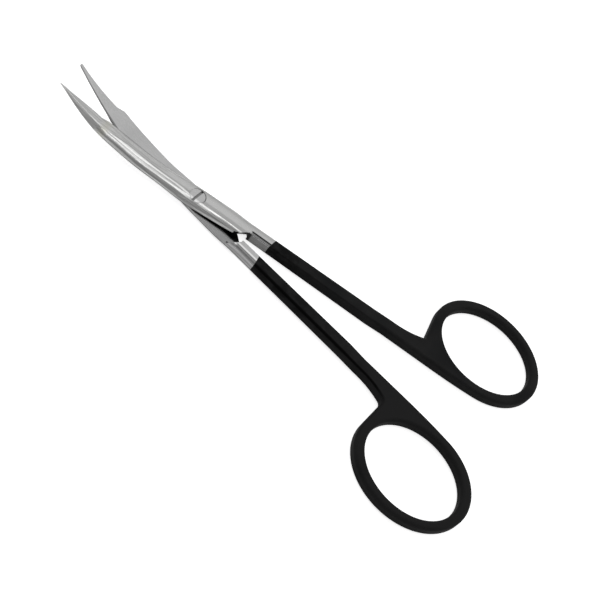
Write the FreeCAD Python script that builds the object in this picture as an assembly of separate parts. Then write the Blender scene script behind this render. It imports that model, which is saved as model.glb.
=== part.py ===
"""Curved tenotomy scissors, 4.5 inch pattern, lying on a table and held slightly open.

Three pieces: a lower half, an upper half that swings on it, and the pivot screw.

Frame, in millimetres: the origin is on the pivot axis in the plane of the table, +X runs
along the middle of the scissors towards the tips, +Z is up. The lower half carries its
finger ring on the +Y side and its blade on the -Y side; the upper half is the other way
round. The blades curve upwards, away from the table.

Each half is first built closed, in its own plan: x along the scissors, y positive on the
side of its own shank and cutting edge, and w measured away from the face that rubs on the
other half. The two halves share every rule below and differ only in their tips.
"""

import FreeCAD, Part
import math
import os
from collections import namedtuple

Vector = FreeCAD.Vector

# Shank and finger ring
thickness = 2.5
ring_reach = 81.4
ring_hole_length = 22.1
ring_hole_width = 19.0
ring_hole_tilt = 1.5
ring_wall_ends = 2.3
ring_wall_sides = 2.15
ring_tilt = 7.0
ring_lift = 0.35
ring_inner_turn = 4.5
ring_edge_radius = 0.7
neck_lean = 1.5
neck_length = 8.1
neck_flare_start = 1.0
neck_flare_radius = 19.0
lower_notch_radius = 1.3
upper_notch_radius = 0.7
shank_gap = 0.1
shank_width_neck = 3.3
shank_width_joint = 2.8
shank_inner_edge = 0.25
shank_outer_edge = 0.9
shank_blend = 4.0

# Lap joint
lap_length = 12.8
lap_end_angle = 38.0
lap_end_run = 2.2
lap_corner_radius = 2.4
lap_corner_flare = 8.0
lap_width = 5.4
lap_swell = 0.12
lap_back_fullness = 0.78
ridge_offset = 1.0
shoulder_distance = 13.3
shoulder_angle = 58.0
shoulder_lean = 0.6
relief_start = 2.0
relief_depth = 0.5
blade_gap = 0.04

# Blades
blade_reach = 34.5
lower_tip_beyond = 0.35
step_distance = 22.8
step_length = 1.6
blade_width = 5.0
blade_height = 1.45
edge_land = 0.25
back_land = 0.3
curve_start = 7.8
curve_radius = 75.0
tip_ridge_width = 0.04
tip_land = 0.12
tip_fullness = 0.1
lower_tip_radius = 0.36
upper_tip_radius = 0.14

# Pivot screw
screw_shaft_radius = 1.0
screw_head_radius = 1.7
screw_head_height = 0.55
slot_width = 0.5
slot_depth = 0.22
slot_angle = 84.0
running_clearance = 0.03

# Pose in the model
half_opening = 5.85

# How far cutting forms run past the metal
margin = 5.0
beyond = 40.0

# Worked out from the sizes above
middle = thickness / 2
inner_face = shank_gap / 2
upper_tip_reach = blade_reach
lower_tip_reach = blade_reach + lower_tip_beyond
quarter_weight = math.sqrt(0.5)

Half = namedtuple("Half", "side face notch_radius tip_sections tip_reach tip_radius tip_offset")
Section = namedtuple("Section", "x back ridge crown front height back_land front_land back_full front_full")


def rise(x):
    """Height of the curved blades' rubbing face above its flat stretch, at x."""
    past = max(0.0, x - curve_start)
    return curve_radius - math.sqrt(curve_radius**2 - past**2)


def place(half, x, y, w):
    """A point of one half's own plan, put into the closed scissors."""
    return Vector(x, half.side * y, middle + rise(x) + half.face * w)


def rounded_edge(half, x, start, end, corner, fullness):
    """A side of a section that leans out to its corner: 0 is straight, 1 a quarter ellipse."""
    y = (start[0] + end[0]) / 2
    w = (start[1] + end[1]) / 2
    y = y + fullness * (corner[0] - y)
    w = w + fullness * (corner[1] - w)
    curve = Part.BezierCurve()
    curve.setPoles([place(half, x, *start), place(half, x, y, w), place(half, x, *end)])
    curve.setWeight(2, quarter_weight)
    return curve.toShape()


def straight_edge(half, x, start, end):
    return Part.LineSegment(place(half, x, *start), place(half, x, *end)).toShape()


def section_wire(half, section):
    """A closed section, the same above and below its own middle, with two rounded sides."""
    x, back, ridge, crown, front, height, back_land, front_land, back_full, front_full = section
    edges = []
    for up in (1, -1):
        top = up * height
        front_edge = (front, up * front_land)
        back_edge = (back, up * back_land)
        edges.append(rounded_edge(half, x, front_edge, (crown, top), (front, top), front_full))
        edges.append(straight_edge(half, x, (crown, top), (ridge, top)))
        edges.append(rounded_edge(half, x, (ridge, top), back_edge, (back, top), back_full))
    edges.append(straight_edge(half, x, (back, back_land), (back, -back_land)))
    edges.append(straight_edge(half, x, (front, front_land), (front, -front_land)))
    return Part.Wire([edges[i] for i in (7, 0, 1, 2, 6, 5, 4, 3)])


def loft(half, sections, ruled):
    wires = [section_wire(half, section) for section in sections]
    return Part.makeLoft(wires, True, ruled)


def rubbing_cutter(half):
    """Everything on the far side of the face that rubs on the other half.

    The face is turned about the pivot axis, so the halves never bind at any angle.
    """
    base = middle + half.face * blade_gap / 2
    reach = half.tip_reach + margin
    sweep = math.asin((reach - curve_start) / curve_radius)
    arc_points = [
        Vector(curve_start + curve_radius * math.sin(a), 0, base + curve_radius * (1 - math.cos(a)))
        for a in (0, sweep / 2, sweep)
    ]
    far = -half.face * beyond
    start = Vector(0, 0, base)
    corner = Vector(reach, 0, far)
    axis_end = Vector(0, 0, far)
    edges = [
        Part.LineSegment(start, arc_points[0]).toShape(),
        Part.Arc(*arc_points).toShape(),
        Part.LineSegment(arc_points[2], corner).toShape(),
        Part.LineSegment(corner, axis_end).toShape(),
        Part.LineSegment(axis_end, start).toShape(),
    ]
    profile = Part.Face(Part.Wire(edges))
    return profile.revolve(Vector(0, 0, 0), Vector(0, 0, 1), 360)


def relief_cutter(half):
    """A thin wedge that clears the rubbing face from behind the pivot to the shoulder."""
    slope = relief_depth / (lap_length - relief_start)
    base = middle + half.face * blade_gap / 2
    profile = [
        (-relief_start, 0), (-relief_start - beyond, slope * beyond),
        (-relief_start - beyond, -beyond), (-relief_start, -beyond),
    ]
    corners = [Vector(x, -beyond, base + half.face * w) for x, w in profile]
    wire = Part.makePolygon(corners + corners[:1])
    return Part.Face(wire).extrude(Vector(0, 2 * beyond, 0))


def behind_shoulder(half):
    """The block behind the leaning shoulder, which no cutter of the lap joint enters."""
    angle = math.radians(shoulder_angle)
    low = -thickness
    high = middle
    lean = shoulder_lean / middle
    profile = [
        (lean * (low + middle), low), (lean * (high + middle), high),
        (-beyond, high), (-beyond, low),
    ]
    corners = []
    for offset, w in profile:
        x = -shoulder_distance + offset * math.sin(angle) - beyond * math.cos(angle)
        y = inner_face - offset * math.cos(angle) - beyond * math.sin(angle)
        corners.append(Vector(x, half.side * y, middle + half.face * w))
    wire = Part.makePolygon(corners + corners[:1])
    run = 2 * beyond
    return Part.Face(wire).extrude(Vector(run * math.cos(angle), half.side * run * math.sin(angle), 0))


def rounded_bar_section(x, width, inner_edge, outer_edge):
    """The shank's section at x: flat faces, with its own edge radius on each side."""
    outer = inner_face + width
    return Section(
        x, inner_face, inner_face + inner_edge, outer - outer_edge, outer,
        middle, middle - inner_edge, middle - outer_edge, 1, 1,
    )


def ring_ellipse():
    """Half axes, tilt and centre of the ring's outer ellipse."""
    long_axis = ring_hole_length / 2 + ring_wall_ends
    short_axis = ring_hole_width / 2 + ring_wall_sides
    tilt = math.radians(ring_tilt)
    half_extent_x = math.hypot(long_axis * math.cos(tilt), short_axis * math.sin(tilt))
    half_extent_y = math.hypot(long_axis * math.sin(tilt), short_axis * math.cos(tilt))
    centre = Vector(half_extent_x - ring_reach, inner_face + ring_lift + half_extent_y, 0)
    return long_axis, short_axis, tilt, centre


def neck_start():
    """x where the straight shank ends and the neck begins."""
    long_axis, short_axis, tilt, centre = ring_ellipse()
    near_end = centre.x + math.hypot(long_axis * math.cos(tilt), short_axis * math.sin(tilt))
    return near_end + neck_length


def tilted_ellipse(centre, long_axis, short_axis, tilt):
    along = Vector(math.cos(tilt), math.sin(tilt), 0)
    across = Vector(-math.sin(tilt), math.cos(tilt), 0)
    return Part.Ellipse(centre + along * long_axis, centre + across * short_axis, centre)


def ring_angle(direction):
    """Angle on the ring's outer ellipse where the outward normal has this direction."""
    long_axis, short_axis, tilt, centre = ring_ellipse()
    turned = direction - tilt
    return math.atan2(short_axis * math.sin(turned), long_axis * math.cos(turned))


def neck_outline(notch_radius):
    """The neck and ring from above, as one wire: inner side, ring, notch and flare."""
    long_axis, short_axis, tilt, centre = ring_ellipse()
    ellipse = tilted_ellipse(centre, long_axis, short_axis, tilt)
    lean = math.radians(neck_lean)
    near_angle = ring_angle(-lean)
    near_point = ellipse.value(near_angle)

    turn = math.radians(ring_inner_turn)
    low_angle = ring_angle(-math.pi / 2 - turn) + 2 * math.pi
    low_point = ellipse.value(low_angle)
    run = (low_point.y - inner_face) / math.sin(turn)
    bend_start = Vector(low_point.x + run * (1 + math.cos(turn)), inner_face, 0)
    bend_radius = run / math.tan(turn / 2)
    bend_centre = bend_start + Vector(0, bend_radius, 0)
    bend_middle = bend_centre - Vector(math.sin(turn / 2), math.cos(turn / 2), 0) * bend_radius

    start_x = neck_start()
    outer = inner_face + shank_width_neck
    inner_start = Vector(start_x, inner_face, 0)
    outer_start = Vector(start_x, outer, 0)
    flare_start = Vector(start_x - neck_flare_start, outer, 0)
    flare_centre = flare_start + Vector(0, neck_flare_radius, 0)
    away = Vector(math.cos(lean), -math.sin(lean), 0)
    down = Vector(-math.sin(lean), -math.cos(lean), 0)
    first = near_point + away * notch_radius - flare_centre
    behind = first.dot(down)
    drop = math.sqrt(behind**2 - first.dot(first) + (neck_flare_radius - notch_radius) ** 2) - behind
    notch_centre = flare_centre + first + down * drop
    notch_end = notch_centre - away * notch_radius
    outward = (notch_centre - flare_centre).normalize()
    join = flare_centre + outward * neck_flare_radius
    notch_middle = notch_centre + (outward - away).normalize() * notch_radius
    flare_middle = flare_centre + (outward + Vector(0, -1, 0)).normalize() * neck_flare_radius
    edges = [
        Part.LineSegment(inner_start, bend_start).toShape(),
        Part.Arc(bend_start, bend_middle, low_point).toShape(),
        Part.ArcOfEllipse(ellipse, near_angle, low_angle).toShape(),
        Part.LineSegment(near_point, notch_end).toShape(),
        Part.Arc(notch_end, notch_middle, join).toShape(),
        Part.Arc(join, flare_middle, flare_start).toShape(),
        Part.LineSegment(flare_start, outer_start).toShape(),
        Part.LineSegment(outer_start, inner_start).toShape(),
    ]
    return Part.Wire(Part.__sortEdges__(edges))


def ring_and_neck(half):
    """The finger ring with its neck, all long edges rounded for the fingers."""
    centre = ring_ellipse()[3]
    hole = tilted_ellipse(centre, ring_hole_length / 2, ring_hole_width / 2, math.radians(ring_hole_tilt))
    plate = Part.Face(neck_outline(half.notch_radius)).extrude(Vector(0, 0, thickness))
    plate = plate.cut(Part.Face(Part.Wire(hole.toShape())).extrude(Vector(0, 0, thickness)))
    start_x = neck_start()
    rounded = []
    for edge in plate.Edges:
        box = edge.BoundBox
        level = box.ZMax - box.ZMin < middle
        at_start = box.XMin > start_x - neck_flare_start / 2
        if level and not at_start:
            rounded.append(edge)
    grip = plate.makeFillet(ring_edge_radius, rounded)
    if half.side < 0:
        grip = grip.mirror(Vector(0, 0, 0), Vector(0, 1, 0))
    return grip


def shank(half):
    """The straight shank between the lap joint and the neck."""
    start_x = neck_start()
    blend_x = start_x + shank_blend
    share = (blend_x + lap_length) / (start_x + lap_length)
    blend_width = shank_width_joint + share * (shank_width_neck - shank_width_joint)
    sections = [
        rounded_bar_section(start_x, shank_width_neck, ring_edge_radius, ring_edge_radius),
        rounded_bar_section(blend_x, blend_width, shank_inner_edge, shank_outer_edge),
        rounded_bar_section(-lap_length, shank_width_joint, shank_inner_edge, shank_outer_edge),
    ]
    return loft(half, sections, True)


def lap_sections():
    """Sections of the lap joint, from its heel at the shank to just behind the pivot."""
    flat = lap_width / 2
    land = middle - shank_outer_edge
    heel = inner_face + shank_width_joint

    def lap(share, back, ridge, front):
        """share is of the lap's length, back of its half width and ridge of the ridge's offset."""
        return Section(
            -share * lap_length, -back * flat, -ridge * ridge_offset, front - shank_outer_edge, front,
            middle, back_land, land, lap_back_fullness, 1,
        )

    return [
        lap(1.0, 0.68, 1.1, heel),
        lap(0.7, 0.78, 1.08, heel + lap_swell),
        lap(0.4, 0.90, 1.06, heel + 0.6 * lap_swell),
        lap(0.15, 1.02, 1.02, heel - 0.3 * lap_swell),
    ]


def blade_sections():
    """Sections of the half-round blade body, ending at the step before the tip."""
    half_width = blade_width / 2

    def body(share, back, ridge, crown, front, height, land, back_full, front_full):
        """share is of the way to the step; the four places across are shares of half the width."""
        return Section(
            share * step_distance, -back * half_width, -ridge * half_width, crown * half_width,
            front * half_width, height, edge_land, land * edge_land, back_full, front_full,
        )

    return [
        body(0.14, 1.14, 0.20, 0.62, 1.03, middle, 1.4, 0.72, 0.8),
        body(0.34, 1.01, 0.18, 0.20, 1.00, 0.96 * middle, 1.1, 0.68, 0.45),
        body(0.56, 1.01, 0.18, -0.06, 0.98, 0.93 * blade_height, 1.0, 0.75, 0.3),
        body(0.76, 1.00, 0.22, -0.10, 0.97, blade_height, 1.0, 0.80, 0.25),
        body(0.92, 0.99, 0.42, -0.30, 0.86, 0.87 * blade_height, 1.0, 0.78, 0.2),
        body(1.0, 0.97, 0.54, -0.42, 0.78, 0.76 * blade_height, 1.0, 0.65, 0.15),
    ]


def tip(reach, share, back, ridge, front, height):
    """One section of a ground tip; share runs from 0 at the step to 1 at the very end."""
    start = step_distance + step_length
    return Section(
        start + share * (reach - start), back, ridge, ridge + tip_ridge_width, front,
        height, tip_land, tip_land, tip_fullness, tip_fullness,
    )


def lap_end_cutter(half):
    """Cuts the lap joint's heel off obliquely, with a rounded outer corner."""
    angle = math.radians(lap_end_angle)
    turn = angle - math.radians(lap_corner_flare)
    start = Vector(-lap_length, half.side * inner_face, -beyond)
    first = start + Vector(math.cos(angle), -half.side * math.sin(angle), 0) * lap_end_run
    centre = first + Vector(math.sin(angle), half.side * math.cos(angle), 0) * lap_corner_radius

    def on_corner(a):
        return centre - Vector(math.sin(a), half.side * math.cos(a), 0) * lap_corner_radius

    last = on_corner(angle - turn)
    out_y = -half.side * beyond
    back_x = -lap_length - margin
    corners = [
        last, Vector(last.x, out_y, start.z), Vector(back_x, out_y, start.z),
        Vector(back_x, start.y, start.z), start, first,
    ]
    edges = [Part.LineSegment(a, b).toShape() for a, b in zip(corners, corners[1:])]
    edges.append(Part.Arc(first, on_corner(angle - turn / 2), last).toShape())
    return Part.Face(Part.Wire(edges)).extrude(Vector(0, 0, 2 * beyond))


def make_half(half):
    """One forged half, closed, with no screw hole yet; also returns its full-depth form."""
    body = lap_sections() + blade_sections()
    step = [body[-1], half.tip_sections[0]]
    bar = loft(half, body, False)
    stepped = loft(half, step, True)
    point = loft(half, half.tip_sections, False)
    blank = bar.cut(lap_end_cutter(half)).fuse([stepped, point])
    blank = blank.cut(tip_trim(half)).cut(flat_face_cutter(half))
    keep = behind_shoulder(half)
    worked = blank.cut(rubbing_cutter(half).cut(keep))
    worked = worked.cut(relief_cutter(half).cut(keep))
    whole = worked.fuse([shank(half), ring_and_neck(half)]).removeSplitter()
    return whole, blank


def flat_face_cutter(half):
    """Everything outside the flat top and underside of the lap joint."""
    low = thickness if half.face > 0 else -beyond
    return Part.makeBox(beyond + curve_start, 2 * beyond, beyond, Vector(-beyond, -beyond, low))


def tip_trim(half):
    """Rounds the very end of the blade in plan."""
    radius = half.tip_radius
    centre_x = half.tip_reach - radius
    box = Part.makeBox(beyond, 2 * beyond, 2 * beyond, Vector(centre_x, -beyond, -beyond))
    end = Vector(centre_x, half.side * half.tip_offset, -beyond)
    return box.cut(Part.makeCylinder(radius, 2 * beyond, end))


def swing(shape, half):
    """Turns a closed half to the opening that the model shows."""
    turned = shape.copy()
    turned.rotate(Vector(0, 0, 0), Vector(0, 0, 1), -half.side * half_opening)
    return turned


def only_solid(shape, name):
    solids = shape.Solids
    if len(solids) != 1:
        raise ValueError(name + " came out as " + str(len(solids)) + " solids")
    return solids[0]


def lower_half():
    whole = make_half(LOWER)[0]
    hole = Part.makeCylinder(screw_shaft_radius, thickness)
    return swing(whole, LOWER).cut(hole)


def upper_half():
    """The upper half, with a seat for the screw's head; also returns the form before the seat."""
    whole, blank = make_half(UPPER)
    bore = Part.makeCylinder(screw_shaft_radius + running_clearance, thickness)
    seat_floor = thickness - screw_head_height - running_clearance
    seat = Part.makeCylinder(screw_head_radius + running_clearance, thickness, Vector(0, 0, seat_floor))
    return swing(whole, UPPER).cut(bore.fuse(seat)), swing(blank, UPPER)


def pivot_screw(ground_form):
    """A slotted screw whose head was ground flush with the upper half after assembly."""
    head_floor = thickness - screw_head_height
    head = Part.makeCylinder(screw_head_radius, screw_head_height, Vector(0, 0, head_floor))
    head = head.common(ground_form)
    shaft = Part.makeCylinder(screw_shaft_radius, thickness - slot_depth)
    slot_start = Vector(-beyond, -slot_width / 2, thickness - slot_depth)
    slot = Part.makeBox(2 * beyond, slot_width, thickness, slot_start)
    slot.rotate(Vector(0, 0, 0), Vector(0, 0, 1), slot_angle)
    return head.fuse(shaft).cut(slot).removeSplitter()


LOWER = Half(1, -1, lower_notch_radius, [
    tip(lower_tip_reach, 0.0, -1.55, -0.62, 1.68, 0.86),
    tip(lower_tip_reach, 0.36, -1.06, -0.42, 1.10, 0.70),
    tip(lower_tip_reach, 0.68, -0.76, -0.28, 0.60, 0.54),
    tip(lower_tip_reach, 1.0, -0.62, -0.26, 0.14, 0.36),
], lower_tip_reach, lower_tip_radius, -0.25)

UPPER = Half(-1, 1, upper_notch_radius, [
    tip(upper_tip_reach, 0.0, -2.34, -1.36, 1.46, 1.00),
    tip(upper_tip_reach, 0.40, -1.64, -0.72, 1.08, 0.72),
    tip(upper_tip_reach, 0.68, -0.96, -0.48, 0.54, 0.48),
    tip(upper_tip_reach, 0.90, -0.48, -0.32, 0.10, 0.30),
    tip(upper_tip_reach, 1.0, -0.33, -0.24, -0.08, 0.18),
], upper_tip_reach, upper_tip_radius, -0.20)


def main():
    os.makedirs("parts", exist_ok=True)
    upper, ground_form = upper_half()
    pieces = {
        "lower_half": lower_half(),
        "upper_half": upper,
        "pivot_screw": pivot_screw(ground_form),
    }
    for name, shape in pieces.items():
        only_solid(shape, name).exportStep("parts/" + name + ".step")


main()
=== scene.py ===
"""Curved tenotomy scissors on a pale table, seen from above and to one side.

The three solids keep their shapes. The script gives them their finish: satin steel with
grinding streaks, a stain and grime in the screw's seam, and a black coat on the shanks and
rings. It also paints light and shade into the colour: painted highlights along the ridges,
painted shade on walls, flats, bevels and edges, in crevices, in the screw's slot and in the
lower coat's crease, and painted light on the upper half and its tip.

Marks are placed in the closed plan of the part's source: x towards the tips, y towards the
lower half's ring and z up, in millimetres from the pivot axis and the table. Two numbers are
where a mark starts and where it is full. Four are a band: start, full, end of full, end.
"""

import bpy
import math
from mathutils import Matrix, Vector


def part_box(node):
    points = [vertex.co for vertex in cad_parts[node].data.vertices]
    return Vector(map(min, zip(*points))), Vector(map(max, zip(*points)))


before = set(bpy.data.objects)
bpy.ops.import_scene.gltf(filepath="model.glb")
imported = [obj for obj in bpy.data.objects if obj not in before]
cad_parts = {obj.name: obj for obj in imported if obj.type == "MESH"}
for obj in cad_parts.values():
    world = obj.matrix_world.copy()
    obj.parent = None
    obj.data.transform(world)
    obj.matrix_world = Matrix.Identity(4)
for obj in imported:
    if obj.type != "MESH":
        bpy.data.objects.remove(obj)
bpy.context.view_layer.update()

MM = 0.001
LOWER = 1
UPPER = -1
HALF_OPENING = math.radians(5.85)
BLACK = (0.0, 0.0, 0.0, 1)
WHITE = (1.0, 1.0, 1.0, 1)
# Colour of the painted highlights along the ridges of both halves
HIGHLIGHT_STEEL = (0.97, 0.97, 0.96, 1)

# Satin steel of the halves
# The steel's tint; the upper half's is a little lighter, painted light standing in for the brighter
# light on the upper half
STEEL_TINT_AND_LIGHT = {LOWER: (0.60, 0.60, 0.60), UPPER: (0.66, 0.66, 0.655)}
STEEL_ROUGHNESS = (0.20, 0.28)
FINE_STRETCH = (500, 6000, 6000)
STREAK_STRETCH = (60, 2600, 2600)
STREAK_CONTRAST = (0.40, 0.60)
STREAK_MIDDLE = 0.6
STREAK_TINTS_FLAT = (0.98, 1.01)
STREAK_TINTS_LEANING = (0.7, 1.2)
STREAK_LEAN = (0.08, 0.2)
STREAK_RELIEF_FLAT = 0.3
CURVE_START = 7.8
CURVE_BEND = 6.667
PATCH_SCALE = 180.0
PATCH_CONTRAST = (0.35, 0.75)
PATCH_STRENGTH = 0.55
PATCH_TINT = 0.8
PORE_SCALE = 9000.0
PORE_DEPTH = 0.05
RELIEF_STRENGTH = 0.25
RELIEF_DEPTH = 0.01
RAGGED_SCALE = 2500.0

# Painted shade on upright walls, and painted shade in the crevices between the halves at the joint
WALL_STEEP = (0.45, 0.12)
LOWER_WALL_ALONG = (6.0, 10.0)
LOWER_WALL_SHADE = (0.22, 0.6)
UPPER_WALL_SHADE = 0.54
# Painted shadow on the upper half's walls at its heel, beside the notch
HEEL_WALL = (-13.6, -13.2, -12.0, -11.5)
HEEL_WALL_SHADE = 0.9
CREVICE_REACH = 1.4
CREVICE_OPEN = (0.3, 0.8)
CREVICE_REAR = (-13.4, -13.0)
CREVICE_FRONT = (4.0, -1.0)
CREVICE_SHADE = (0.01, 0.01, 0.01, 1)

# Edges worn round, by radius
EDGE_ALONG = (0.0, 4.0)
EDGE_RADIUS = (0.12, 0.04)
TIP_EDGE_ALONG = (22.8, 24.5)
TIP_EDGE_EXTRA = 0.11

# Marks, painted shade and a painted highlight on the lower half
# Painted shade on the lower half's lap plate behind the pivot, under the upper half
LAP_BELOW = (1.28, 1.25)
LAP_BEHIND = (-0.5, -1.5)
LAP_LEVEL = (0.85, 0.95)
LAP_SHADE = 0.36
# Painted shadow on the lap plate beside the notch
NOTCH_SHADOW_ACROSS = (0.85, 0.45)
NOTCH_SHADOW_BEHIND = (-7.0, -9.0)
NOTCH_SHADOW_DEPTH = 0.97
LOWER_SHANK = (-12.3, -12.8)
LOWER_TOP = (2.2, 2.35)
# Painted highlight along the lower shank's ridge
LOWER_RIDGE = (1.15, 1.4, 1.55, 1.8)
# Painted shade on the lower shank's inner and outer bevels
BEVEL_INNER = (1.7, 1.9, 2.3, 2.6)
BEVEL_INNER_SHADE = 0.62
BEVEL_OUTER = (2.9, 3.1, 3.3, 3.5)
BEVEL_OUTER_SHADE = 0.4
# Painted shade along the lower blade's cutting edge towards the tip
RIM_TAPER = 0.128
RIM_ACROSS = (4.38, 4.46)
RIM_ALONG = (19.0, 21.0)
RIM_SHADE = 0.6
NICK_PLACE = (-10.45 * MM, 3.16 * MM, 0.9 * MM)
NICK_SIZE = 0.3
NICK_CORE = 0.18
NICK_COLOUR = (0.06, 0.06, 0.06, 1)

# The upper half's ridge: its y, then where it bends, which way, for how long and how steeply
RIDGE_MIDDLE = 0.6
RIDGE_BENDS = [(5.0, -1.0, 6.0, 0.1), (9.0, 1.0, 7.0, 0.057), (27.0, 1.0, 9.0, -0.09)]
# Width of the painted highlight along the ridge, and where it is strong behind the joint and at the
# tip
RIDGE_WIDTH = (0.27, 0.09)
RIDGE_HIGHLIGHT_REAR = (-3.5, -6.5)
RIDGE_HIGHLIGHT_REAR_STRENGTH = (0.3, 0.92)
RIDGE_HIGHLIGHT_TIP = (20.5, 23.0)
RIDGE_HIGHLIGHT_TIP_STRENGTH = 0.9
RIDGE_HEEL_END = (-12.8, -12.4)
LAND_OFFSET = 0.2
LAND_WIDTH = 0.8
LAND_ALONG = (0.0, 4.0, 21.5, 23.0)
LAND_ABOVE = (1.4, 1.7)
LAND_TILT_ALONG = (9.0, 14.0)
LAND_TILT = (0.13, 0.18)

# Other marks, and painted light and shade, on the upper half
UPPER_TOP = (2.0, 2.2)
# Painted shade on the upper half's flats, towards both edges
FLAT_LEVEL = (0.975, 0.99)
FLAT_NEAR_SHADE = (-0.2, 0.4)
FLAT_FAR_SHADE = (-0.7, -2.4)
FLAT_SHADE = 0.26
# Painted light on a leaning facet of the upper tip, fading towards the point
TIP_ALONG = (22.5, 24.5)
TIP_LEVEL = (0.99, 0.96)
TIP_LEAN = (0.1, 0.3)
TIP_LIGHT_ALONG = (26.0, 31.0)
TIP_LIGHT = (0.6, 0.1)
TIP_LIT_STEEL = (0.92, 0.92, 0.91, 1)
UPPER_SHANK = (-12.9, -13.3)
# Painted shade: a dark strip and line along the upper shank's inner edge, standing in for a shaded
# inner wall
STRIP_ACROSS = (-0.80, -0.74)
STRIP_LEVEL = (0.97, 0.9)
STRIP_SHADE_FLAT = (0.18, 0.18, 0.18, 1)
STRIP_SHADE_BEVEL = (0.5, 0.5, 0.5, 1)
STRIP_LINE = (-0.9, -0.8, -0.56, -0.44)
STRIP_LINE_SHADE = 0.95
STAIN_PLACE = 22.6
STAIN_RAGGED = 0.6
STAIN_REACH = (0.4, 1.8)
STAIN_STRENGTH = 0.6
STAIN_STEEL = (0.58, 0.57, 0.50, 1)
SEAM_RADIUS = 1.76
SEAM_WIDTH = (0.15, 0.06)
SEAM_TURN = math.radians(120.0)
SEAM_HEAVY_ALONG = (0.0, 1.2)
SEAM_HEAVY = (0.06, 0.95)
SEAM_GRIME = (0.03, 0.03, 0.03, 1)

# Black coat
COAT_EDGE = {LOWER: -17.35, UPPER: -17.6}
COAT_SLANT = -0.22
COAT_RAGGED = 0.12
COAT_FADE = (-0.03, 0.03)
COAT_ROUGHNESS = (0.42, 0.56)
COAT_DARK = (0.0155, 0.0155, 0.0157, 1)
COAT_LIGHT = (0.0195, 0.0195, 0.0197, 1)
COAT_CLOUD = (0.010, 0.0105, 0.011, 1)
MOTTLE_SCALE = 420.0
MOTTLE_CONTRAST = (0.35, 0.7)
CLOUD_SCALE = 75.0
CLOUD_CONTRAST = (0.52, 0.66)
FRONT_END = {LOWER: (-54.0, -24.0), UPPER: (-32.0, -21.0)}
FRONT_END_DULL = {LOWER: (0.1, 0.6), UPPER: (0.0, 0.75)}
FRONT_END_CONTRAST = (0.42, 0.56)
FRONT_END_LEAST = 0.1
# Painted shade in the lower shank's crease
CREASE_STEEP = (0.5, 0.7)
CREASE_LEVEL = (0.998, 0.96)
CREASE_ALONG = (-56.0, -52.0)
CREASE_SHADE = 0.95
SPECULAR_LEVEL = 0.05
NOISE_SPREAD = (0.3, 0.7)

# Pivot screw
SCREW_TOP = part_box("pivot_screw")[1].z
SCREW_DARK = (0.56, 0.56, 0.56, 1)
SCREW_LIGHT = (0.62, 0.62, 0.62, 1)
SCREW_STRETCH = (300, 3000, 3000)
SCREW_GRAIN_TURN = 0.2
SCREW_EDGE_RADIUS = 0.05
SCREW_RELIEF = 0.2
SLOT_WIDTH = 0.5
SLOT_FLOOR = (-0.24, -0.23)
SLOT_LIP = (-0.02, -0.06)
SLOT_ANGLE = math.radians(84.0)
SLOT_FADE = 0.03
# Painted shade in the screw's slot, grey in the middle and darkest by the walls
SLOT_WALL = (0.15, 0.225)
SLOT_SHADE_TONE = (0.26, 0.05)

# Camera and room
VIEW_TARGET = Vector((-29.05, 2.95, 1.25)) * MM
VIEW_DISTANCE = 272.09 * MM
VIEW_AZIMUTH = math.radians(178.49)
VIEW_ELEVATION = math.radians(47.49)
VIEW_ROLL = math.radians(40.78)
SENSOR = 36.0
PHOTO_SIZE = 600.0
FOCAL_PIXELS = 1362.43
CLIP = (0.01, 20.0)
FLOOR_SIZE = 3.0
FLOOR_DROP = 0.02
FLOOR_GRAIN = 900.0
FLOOR_DARK = (0.90, 0.90, 0.90, 1)
FLOOR_LIGHT = (0.93, 0.93, 0.93, 1)
FLOOR_GLOW = 0.76
FLOOR_GLOW_IN_METAL = 0.2
FLOOR_ROUGHNESS = 0.9
FLOOR_SPECULAR = 0.1
ROOM_BANDS = [
    (-90, 0.68), (-56, 0.66), (-43, 0.76), (-36, 0.62), (-31, 0.66), (-25, 1.5), (-14.5, 1.45),
    (-6, 0.5), (10, 0.36), (45, 0.27), (62, 0.55), (90, 0.58),
]


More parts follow.
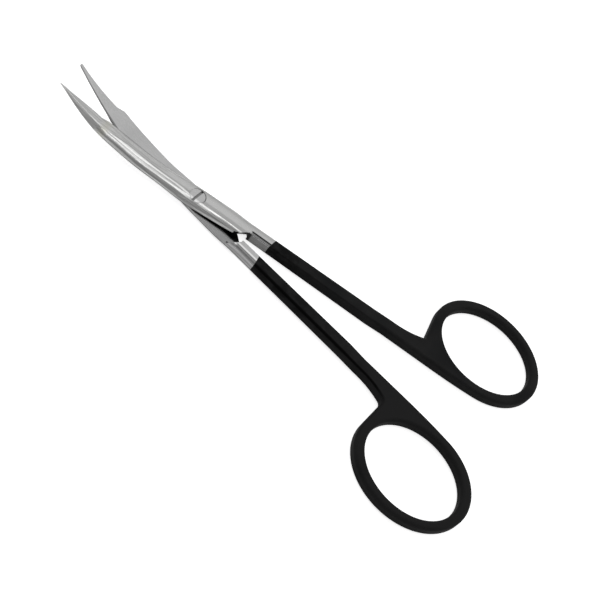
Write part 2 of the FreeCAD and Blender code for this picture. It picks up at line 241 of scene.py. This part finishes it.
class Nodes:
    """A new material, and short ways to add and join its shader nodes."""

    def __init__(self, name):
        self.material = bpy.data.materials.new(name)
        self.material.use_nodes = True
        self.tree = self.material.node_tree
        self.shader = self.tree.nodes["Principled BSDF"]
        self.place = self.add("TexCoord").outputs["Object"]

    def add(self, kind):
        return self.tree.nodes.new("ShaderNode" + kind)

    def link(self, source, socket):
        """Joins a socket to another one, or gives it a plain value."""
        if hasattr(source, "is_linked"):
            self.tree.links.new(source, socket)
        else:
            socket.default_value = source

    def math(self, operation, a, b=0.0, c=0.0):
        node = self.add("Math")
        node.operation = operation
        for value, socket in zip((a, b, c), node.inputs):
            self.link(value, socket)
        return node.outputs[0]

    def product(self, first, *others):
        for other in others:
            first = self.math("MULTIPLY", first, other)
        return first

    def size(self, value):
        return self.math("ABSOLUTE", value)

    def reverse(self, value):
        return self.math("SUBTRACT", 1.0, value)

    def clamp(self, value, low, high):
        return self.math("MINIMUM", self.math("MAXIMUM", value, low), high)

    def mix_colour(self, factor, a, b):
        node = self.add("Mix")
        node.data_type = "RGBA"
        self.link(factor, node.inputs["Factor"])
        self.link(a, node.inputs[6])
        self.link(b, node.inputs[7])
        return node.outputs[2]

    def darken(self, colour, mask, depth):
        """Pulls a colour towards black where the mask is 1."""
        return self.mix_colour(self.math("MULTIPLY", mask, depth), colour, BLACK)

    def noise(self, vector, scale, detail=3.0, roughness=0.55):
        node = self.add("TexNoise")
        self.link(vector, node.inputs["Vector"])
        node.inputs["Scale"].default_value = scale
        node.inputs["Detail"].default_value = detail
        node.inputs["Roughness"].default_value = roughness
        return node.outputs["Fac"]

    def stretched(self, vector, turn, scale):
        node = self.add("Mapping")
        self.link(vector, node.inputs["Vector"])
        node.inputs["Rotation"].default_value = (0, 0, turn)
        node.inputs["Scale"].default_value = scale
        return node.outputs["Vector"]

    def split(self, vector):
        node = self.add("SeparateXYZ")
        self.link(vector, node.inputs[0])
        return node.outputs

    def vector_math(self, operation, a, b=None):
        node = self.add("VectorMath")
        node.operation = operation
        self.link(a, node.inputs[0])
        if b is not None:
            self.link(b, node.inputs[1])
        return node.outputs["Value"]

    def range(self, value, start, end, new_start, new_end, smooth=False):
        node = self.add("MapRange")
        node.interpolation_type = "SMOOTHSTEP" if smooth else "LINEAR"
        self.link(value, node.inputs["Value"])
        node.inputs["From Min"].default_value = start
        node.inputs["From Max"].default_value = end
        node.inputs["To Min"].default_value = new_start
        node.inputs["To Max"].default_value = new_end
        return node.outputs[0]

    def fade(self, value, limits, levels=(0.0, 1.0), smooth=False):
        """From the first level to the second between two places in millimetres."""
        start, end = limits
        return self.range(value, start * MM, end * MM, *levels, smooth)

    def band(self, value, places):
        """1 in the middle of four places in millimetres, fading to 0 on both sides."""
        start, full, full_end, end = places
        rise = self.fade(value, (start, full), smooth=True)
        fall = self.fade(value, (full_end, end), (1.0, 0.0), smooth=True)
        return self.math("MULTIPLY", rise, fall)

    def bump(self, height, strength, distance, normal):
        node = self.add("Bump")
        node.inputs["Strength"].default_value = strength
        node.inputs["Distance"].default_value = distance
        self.link(height, node.inputs["Height"])
        self.link(normal, node.inputs["Normal"])
        return node.outputs["Normal"]

    def edge_round(self, radius):
        node = self.add("Bevel")
        node.samples = 6
        self.link(radius, node.inputs["Radius"])
        return node.outputs["Normal"]

    def own_normal(self):
        """The true surface direction in the piece's own frame, so it turns with the piece."""
        node = self.add("VectorTransform")
        node.vector_type = "NORMAL"
        node.convert_from = "WORLD"
        node.convert_to = "OBJECT"
        self.link(self.add("NewGeometry").outputs["True Normal"], node.inputs[0])
        return self.split(node.outputs[0])

    def open_air(self):
        """1 where nothing is near the surface, 0 in a crevice."""
        node = self.add("AmbientOcclusion")
        node.samples = 8
        node.inputs["Distance"].default_value = CREVICE_REACH * MM
        return self.range(node.outputs["AO"], *CREVICE_OPEN, 0.0, 1.0)


def shade_of(tint, share):
    return (*[channel * share for channel in tint], 1)


def streak_grain(n, x, y, z):
    """Grinding streaks that follow the blades' upward curve."""
    front = n.math("MAXIMUM", n.math("SUBTRACT", x, CURVE_START * MM), 0.0)
    curved = n.add("CombineXYZ")
    n.link(x, curved.inputs[0])
    n.link(y, curved.inputs[1])
    n.link(n.math("MULTIPLY_ADD", n.product(front, front), -CURVE_BEND, z), curved.inputs[2])
    return n.noise(n.stretched(curved.outputs[0], 0.0, STREAK_STRETCH), 1.0, 4.0, 0.6)


def satin_steel(n, tint, grain, leaning):
    """Streaked steel, plainer on the flats, with a few duller patches."""
    streaks = n.range(grain, *STREAK_CONTRAST, 0.0, 1.0)
    flat, leant = [
        n.mix_colour(streaks, shade_of(tint, dark), shade_of(tint, light))
        for dark, light in (STREAK_TINTS_FLAT, STREAK_TINTS_LEANING)
    ]
    steel = n.mix_colour(n.range(leaning, *STREAK_LEAN, 0.0, 1.0), flat, leant)
    patches = n.range(n.noise(n.place, PATCH_SCALE), *PATCH_CONTRAST, 0.0, PATCH_STRENGTH)
    return n.mix_colour(patches, steel, shade_of(tint, PATCH_TINT))


def lower_half_marks_and_light(n, steel, x, y, z, up):
    """Painted shade on the lap plate, a painted shadow by the notch, a painted highlight along the
    shank's ridge, painted shade on its bevels and along the cutting edge, and a nick.
    """
    low = n.fade(z, LAP_BELOW)
    # Painted shade on the lap plate under the upper half
    lap_shade = n.product(low, n.fade(x, LAP_BEHIND), n.range(up, *LAP_LEVEL, 0.0, 1.0))
    steel = n.darken(steel, lap_shade, LAP_SHADE)
    # Painted shadow beside the notch
    notch_shadow = n.product(n.fade(y, NOTCH_SHADOW_ACROSS, smooth=True), n.fade(x, NOTCH_SHADOW_BEHIND), low)
    steel = n.darken(steel, notch_shadow, NOTCH_SHADOW_DEPTH)
    shank = n.fade(x, LOWER_SHANK)
    # Painted shade on the shank's bevels
    steel = n.darken(steel, n.product(n.band(y, BEVEL_INNER), shank), BEVEL_INNER_SHADE)
    steel = n.darken(steel, n.product(n.band(y, BEVEL_OUTER), shank), BEVEL_OUTER_SHADE)
    # Painted highlight along the shank's ridge
    shank_highlight = n.product(n.band(y, LOWER_RIDGE), n.fade(z, LOWER_TOP), shank)
    steel = n.mix_colour(shank_highlight, steel, HIGHLIGHT_STEEL)
    # Painted shade along the cutting edge
    edge_shade = n.fade(n.math("MULTIPLY_ADD", x, RIM_TAPER, y), RIM_ACROSS)
    steel = n.darken(steel, n.product(edge_shade, n.fade(x, RIM_ALONG)), RIM_SHADE)
    nick = n.fade(n.vector_math("DISTANCE", n.place, NICK_PLACE), (NICK_SIZE, NICK_CORE))
    return n.mix_colour(nick, steel, NICK_COLOUR)


def ridge_line(n, x):
    """The y of the upper half's ridge, seen from above with the scissors closed."""
    line = RIDGE_MIDDLE * MM
    for start, direction, length, slope in RIDGE_BENDS:
        run = n.product(n.math("SUBTRACT", x, start * MM), direction)
        line = n.math("MULTIPLY_ADD", n.clamp(run, 0.0, length * MM), slope, line)
    return line


def painted_ridge_highlight(n, x, y, top):
    """A painted highlight along the ridge, where the metal's own gloss doesn't show one."""
    away = n.size(n.math("SUBTRACT", y, ridge_line(n, x)))
    rear = n.fade(x, RIDGE_HIGHLIGHT_REAR, RIDGE_HIGHLIGHT_REAR_STRENGTH)
    tip_light = n.fade(x, RIDGE_HIGHLIGHT_TIP, (0.0, RIDGE_HIGHLIGHT_TIP_STRENGTH))
    line = n.fade(away, RIDGE_WIDTH, smooth=True)
    return n.product(line, top, n.math("ADD", rear, tip_light), n.fade(x, RIDGE_HEEL_END))


def upper_half_marks_and_light(n, steel, x, y, z, lean, up, ragged):
    """Painted shade at the flats' edges, painted light on a tip facet, a painted highlight along
    the ridge, a painted shade strip and line inside the shank, a stain, and the screw's grime.
    """
    top = n.fade(z, UPPER_TOP)
    # Painted shade on the flats towards their edges
    near = n.fade(y, FLAT_NEAR_SHADE, smooth=True)
    far = n.fade(y, FLAT_FAR_SHADE, smooth=True)
    level = n.product(n.range(up, *FLAT_LEVEL, 0.0, 1.0), top)
    steel = n.darken(steel, n.product(n.math("ADD", near, far), level), FLAT_SHADE)
    # Painted light on the tip's leaning facet
    tip_light = n.product(
        n.fade(x, TIP_ALONG), n.range(up, *TIP_LEVEL, 0.0, 1.0),
        n.range(lean, *TIP_LEAN, 0.0, 1.0), n.fade(x, TIP_LIGHT_ALONG, TIP_LIGHT), top,
    )
    steel = n.mix_colour(tip_light, steel, TIP_LIT_STEEL)
    # Painted highlight along the ridge
    steel = n.mix_colour(painted_ridge_highlight(n, x, y, top), steel, HIGHLIGHT_STEEL)
    shank = n.product(top, n.fade(x, UPPER_SHANK))
    # Painted shade strip and line inside the shank
    strip_shade = n.mix_colour(n.range(up, *STRIP_LEVEL, 0.0, 1.0), STRIP_SHADE_FLAT, STRIP_SHADE_BEVEL)
    steel = n.mix_colour(n.product(n.fade(y, STRIP_ACROSS), shank), steel, strip_shade)
    steel = n.darken(steel, n.product(n.band(y, STRIP_LINE), shank), STRIP_LINE_SHADE)
    return screw_seam(n, polish_stain(n, steel, x, ragged))


def polish_stain(n, steel, x, ragged):
    """A warm stain round the step, left by grinding the tip."""
    away = n.size(n.math("SUBTRACT", x, STAIN_PLACE * MM))
    away = n.math("MULTIPLY_ADD", ragged, STAIN_RAGGED * MM, away)
    stain = n.fade(away, STAIN_REACH, (STAIN_STRENGTH, 0.0), smooth=True)
    return n.mix_colour(stain, steel, STAIN_STEEL)


def screw_seam(n, steel):
    """Dark grime in the seam round the screw's head, heavier on its shank side."""
    turned = n.stretched(n.place, SEAM_TURN, (1, 1, 0))
    radius = n.vector_math("LENGTH", turned)
    away = n.size(n.math("SUBTRACT", radius, SEAM_RADIUS * MM))
    heavy = n.fade(n.split(turned)[0], SEAM_HEAVY_ALONG, SEAM_HEAVY)
    seam = n.product(n.fade(away, SEAM_WIDTH, smooth=True), heavy)
    return n.mix_colour(seam, steel, SEAM_GRIME)


def coat_mask(n, side, x, y, ragged):
    """1 on the coated shank and ring, 0 on the bare steel, with a slanting ragged edge."""
    outward = n.product(y, float(side))
    edge = n.math("MULTIPLY_ADD", outward, COAT_SLANT, COAT_EDGE[side] * MM)
    edge = n.math("MULTIPLY_ADD", ragged, COAT_RAGGED * MM, edge)
    return n.fade(n.math("SUBTRACT", edge, x), COAT_FADE)


def black_coat(n, side, x, upright, mottle):
    """Mottled black, deeper at its front end, with painted shade in the lower shank's crease."""
    black = n.mix_colour(n.range(mottle, *MOTTLE_CONTRAST, 0.0, 1.0), COAT_DARK, COAT_LIGHT)
    cloud = n.noise(n.place, CLOUD_SCALE, 2.0)
    black = n.mix_colour(n.range(cloud, *CLOUD_CONTRAST, 0.0, 1.0), black, COAT_CLOUD)
    blotches = n.range(mottle, *FRONT_END_CONTRAST, FRONT_END_LEAST, 1.0)
    front_end = n.fade(x, FRONT_END[side], FRONT_END_DULL[side])
    black = n.darken(black, n.product(front_end, blotches), 1.0)
    if side == LOWER:
        # Painted shade in the crease
        crease_shade = n.product(
            n.range(upright, *CREASE_STEEP, 0.0, 1.0, True),
            n.range(upright, *CREASE_LEVEL, 0.0, 1.0, True), n.fade(x, CREASE_ALONG),
        )
        black = n.darken(black, crease_shade, CREASE_SHADE)
    return black


def relief(n, side, x, y, z, grain, leaning, coat):
    """Worn edges, the land beside the upper blade's ridge, streaks and pores."""
    start, end = EDGE_RADIUS
    edge_radius = n.fade(x, EDGE_ALONG, (start * MM, end * MM))
    if side == UPPER:
        extra = n.fade(x, TIP_EDGE_ALONG, (0.0, TIP_EDGE_EXTRA * MM))
        edge_radius = n.math("ADD", edge_radius, extra)
    normal = n.edge_round(edge_radius)
    if side == UPPER:
        away = n.math("SUBTRACT", n.math("SUBTRACT", y, ridge_line(n, x)), LAND_OFFSET * MM)
        land = n.product(
            n.clamp(away, 0.0, LAND_WIDTH * MM), n.fade(x, LAND_TILT_ALONG, LAND_TILT),
            n.band(x, LAND_ALONG), n.fade(z, LAND_ABOVE),
        )
        normal = n.bump(land, 1.0, 1.0, normal)
    depth = n.range(leaning, *STREAK_LEAN, STREAK_RELIEF_FLAT, 1.0)
    streaks = n.product(n.math("SUBTRACT", grain, STREAK_MIDDLE), depth, n.reverse(coat))
    pores = n.noise(n.place, PORE_SCALE, 2.0)
    height = n.math("MULTIPLY_ADD", pores, PORE_DEPTH, streaks)
    return n.bump(height, RELIEF_STRENGTH, RELIEF_DEPTH * MM, normal)


def half_material(name, side):
    """Satin steel towards the tips and a black coat from behind the joint to the ring."""
    n = Nodes(name)
    along = n.stretched(n.place, side * HALF_OPENING, (1, 1, 1))
    x, y, z = n.split(along)
    lean, up = n.own_normal()[1:]
    upright, leaning = n.size(up), n.size(lean)
    ragged = n.noise(n.place, RAGGED_SCALE, 2.0)
    coat = coat_mask(n, side, x, y, ragged)
    grain = streak_grain(n, x, y, z)
    fine = n.noise(n.stretched(along, 0.0, FINE_STRETCH), 1.0, 2.0)
    mottle = n.noise(n.place, MOTTLE_SCALE, 4.0)

    steel = satin_steel(n, STEEL_TINT_AND_LIGHT[side], grain, leaning)
    # Painted shade on upright walls
    wall_shade = n.range(upright, *WALL_STEEP, 0.0, 1.0, True)
    if side == LOWER:
        steel = n.darken(steel, wall_shade, n.fade(x, LOWER_WALL_ALONG, LOWER_WALL_SHADE))
        steel = lower_half_marks_and_light(n, steel, x, y, z, up)
    else:
        steel = n.darken(steel, wall_shade, UPPER_WALL_SHADE)
        steel = upper_half_marks_and_light(n, steel, x, y, z, lean, up, ragged)
        # Painted shadow on the heel's walls
        steel = n.darken(steel, n.product(wall_shade, n.band(x, HEEL_WALL)), HEEL_WALL_SHADE)
    # Painted shade in the crevices near the joint, found by ambient occlusion
    crevice_shade = n.product(n.reverse(n.open_air()), n.fade(x, CREVICE_REAR), n.fade(x, CREVICE_FRONT))
    steel = n.mix_colour(crevice_shade, steel, CREVICE_SHADE)
    black = black_coat(n, side, x, upright, mottle)
    n.link(n.mix_colour(coat, steel, black), n.shader.inputs["Base Color"])

    n.link(n.reverse(coat), n.shader.inputs["Metallic"])
    steel_rough = n.range(fine, *NOISE_SPREAD, *STEEL_ROUGHNESS)
    coat_rough = n.range(mottle, *NOISE_SPREAD, *COAT_ROUGHNESS)
    rougher = n.product(coat, n.math("SUBTRACT", coat_rough, steel_rough))
    n.link(n.math("ADD", rougher, steel_rough), n.shader.inputs["Roughness"])
    n.shader.inputs["Specular IOR Level"].default_value = SPECULAR_LEVEL
    normal = relief(n, side, x, y, z, grain, leaning, coat)
    n.link(normal, n.shader.inputs["Normal"])
    return n.material


def screw_material():
    """Satin steel with painted shade on the slot's floor and walls, darkest by the walls."""
    n = Nodes("screw_steel_finish_and_shade")
    grain = n.noise(n.stretched(n.place, SCREW_GRAIN_TURN, SCREW_STRETCH), 1.0, 3.0)
    steel = n.mix_colour(grain, SCREW_DARK, SCREW_LIGHT)
    place = n.split(n.stretched(n.place, -SLOT_ANGLE, (1, 1, 1)))
    across, height = n.size(place[1]), n.math("SUBTRACT", place[2], SCREW_TOP)
    half_width = SLOT_WIDTH / 2
    slot = n.product(
        n.fade(across, (half_width + SLOT_FADE, half_width)),
        n.fade(height, SLOT_FLOOR),
        n.fade(height, SLOT_LIP),
    )
    # Painted shade on the slot's floor and walls
    slot_shade = n.mix_colour(n.fade(across, SLOT_WALL, SLOT_SHADE_TONE), BLACK, WHITE)
    n.link(n.mix_colour(slot, steel, slot_shade), n.shader.inputs["Base Color"])
    n.shader.inputs["Metallic"].default_value = 1.0
    n.link(n.range(grain, *NOISE_SPREAD, *STEEL_ROUGHNESS), n.shader.inputs["Roughness"])
    normal = n.bump(grain, SCREW_RELIEF, RELIEF_DEPTH * MM, n.edge_round(SCREW_EDGE_RADIUS * MM))
    n.link(normal, n.shader.inputs["Normal"])
    return n.material


def dress(node, material):
    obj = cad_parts[node]
    for slot in obj.material_slots:
        slot.material = material
    for polygon in obj.data.polygons:
        polygon.use_smooth = True


def add_floor():
    """A pale sheet just under the scissors, seen as white and keeping their shadow."""
    corners = [(a * FLOOR_SIZE, b * FLOOR_SIZE, 0) for a, b in ((-1, -1), (1, -1), (1, 1), (-1, 1))]
    mesh = bpy.data.meshes.new("floor")
    mesh.from_pydata(corners, [], [(0, 1, 2, 3)])
    floor = bpy.data.objects.new("floor", mesh)
    bpy.context.scene.collection.objects.link(floor)
    floor.location.z = -FLOOR_DROP * MM
    n = Nodes("floor_paper")
    paper = n.mix_colour(n.noise(n.place, FLOOR_GRAIN), FLOOR_DARK, FLOOR_LIGHT)
    n.link(paper, n.shader.inputs["Base Color"])
    rays = n.add("LightPath").outputs
    seen = n.math("MULTIPLY_ADD", rays["Is Glossy Ray"], FLOOR_GLOW_IN_METAL, rays["Is Camera Ray"])
    n.link(n.product(seen, FLOOR_GLOW), n.shader.inputs["Emission Strength"])
    n.shader.inputs["Emission Color"].default_value = WHITE
    n.shader.inputs["Roughness"].default_value = FLOOR_ROUGHNESS
    n.shader.inputs["Specular IOR Level"].default_value = FLOOR_SPECULAR
    floor.data.materials.append(n.material)


def add_camera():
    """The photograph's camera, rolled so that the tips point up and to the left."""
    back = Vector((
        math.sin(VIEW_AZIMUTH) * math.cos(VIEW_ELEVATION),
        -math.cos(VIEW_AZIMUTH) * math.cos(VIEW_ELEVATION),
        math.sin(VIEW_ELEVATION),
    ))
    right = (-back).cross(Vector((0, 0, 1))).normalized()
    up = right.cross(-back)
    turned_right = math.cos(VIEW_ROLL) * right + math.sin(VIEW_ROLL) * up
    turned_up = math.cos(VIEW_ROLL) * up - math.sin(VIEW_ROLL) * right
    data = bpy.data.cameras.new("camera")
    data.sensor_width = SENSOR
    data.lens = FOCAL_PIXELS * SENSOR / PHOTO_SIZE
    data.clip_start, data.clip_end = CLIP
    camera = bpy.data.objects.new("camera", data)
    bpy.context.scene.collection.objects.link(camera)
    camera.matrix_world = Matrix((turned_right, turned_up, back)).transposed().to_4x4()
    camera.location = VIEW_TARGET + back * VIEW_DISTANCE
    bpy.context.scene.camera = camera


def set_world():
    """A pale room with a bright band overhead and a dim side behind the camera."""
    world = bpy.data.worlds.new("studio")
    world.use_nodes = True
    tree = world.node_tree
    background = tree.nodes["Background"]
    coordinates = tree.nodes.new("ShaderNodeTexCoord")
    parts = tree.nodes.new("ShaderNodeSeparateXYZ")
    tree.links.new(coordinates.outputs["Generated"], parts.inputs[0])
    angle = tree.nodes.new("ShaderNodeMath")
    angle.operation = "ARCTAN2"
    tree.links.new(parts.outputs[1], angle.inputs[0])
    tree.links.new(parts.outputs[2], angle.inputs[1])
    place = tree.nodes.new("ShaderNodeMapRange")
    place.inputs["From Min"].default_value = -math.pi / 2
    place.inputs["From Max"].default_value = math.pi / 2
    tree.links.new(angle.outputs[0], place.inputs["Value"])
    ramp = tree.nodes.new("ShaderNodeValToRGB")
    ramp.color_ramp.interpolation = "EASE"
    while len(ramp.color_ramp.elements) < len(ROOM_BANDS):
        ramp.color_ramp.elements.new(0.5)
    for element, (degrees, level) in zip(ramp.color_ramp.elements, ROOM_BANDS):
        element.position = (degrees + 90) / 180
        element.color = (level, level, level, 1)
    tree.links.new(place.outputs[0], ramp.inputs["Fac"])
    tree.links.new(ramp.outputs["Color"], background.inputs["Color"])
    background.inputs["Strength"].default_value = 1.0
    bpy.context.scene.world = world
    bpy.context.scene.view_settings.view_transform = "Standard"


dress("lower_half", half_material("lower_half_finish_and_light", LOWER))
dress("upper_half", half_material("upper_half_finish_and_light", UPPER))
dress("pivot_screw", screw_material())
add_floor()
add_camera()
set_world()
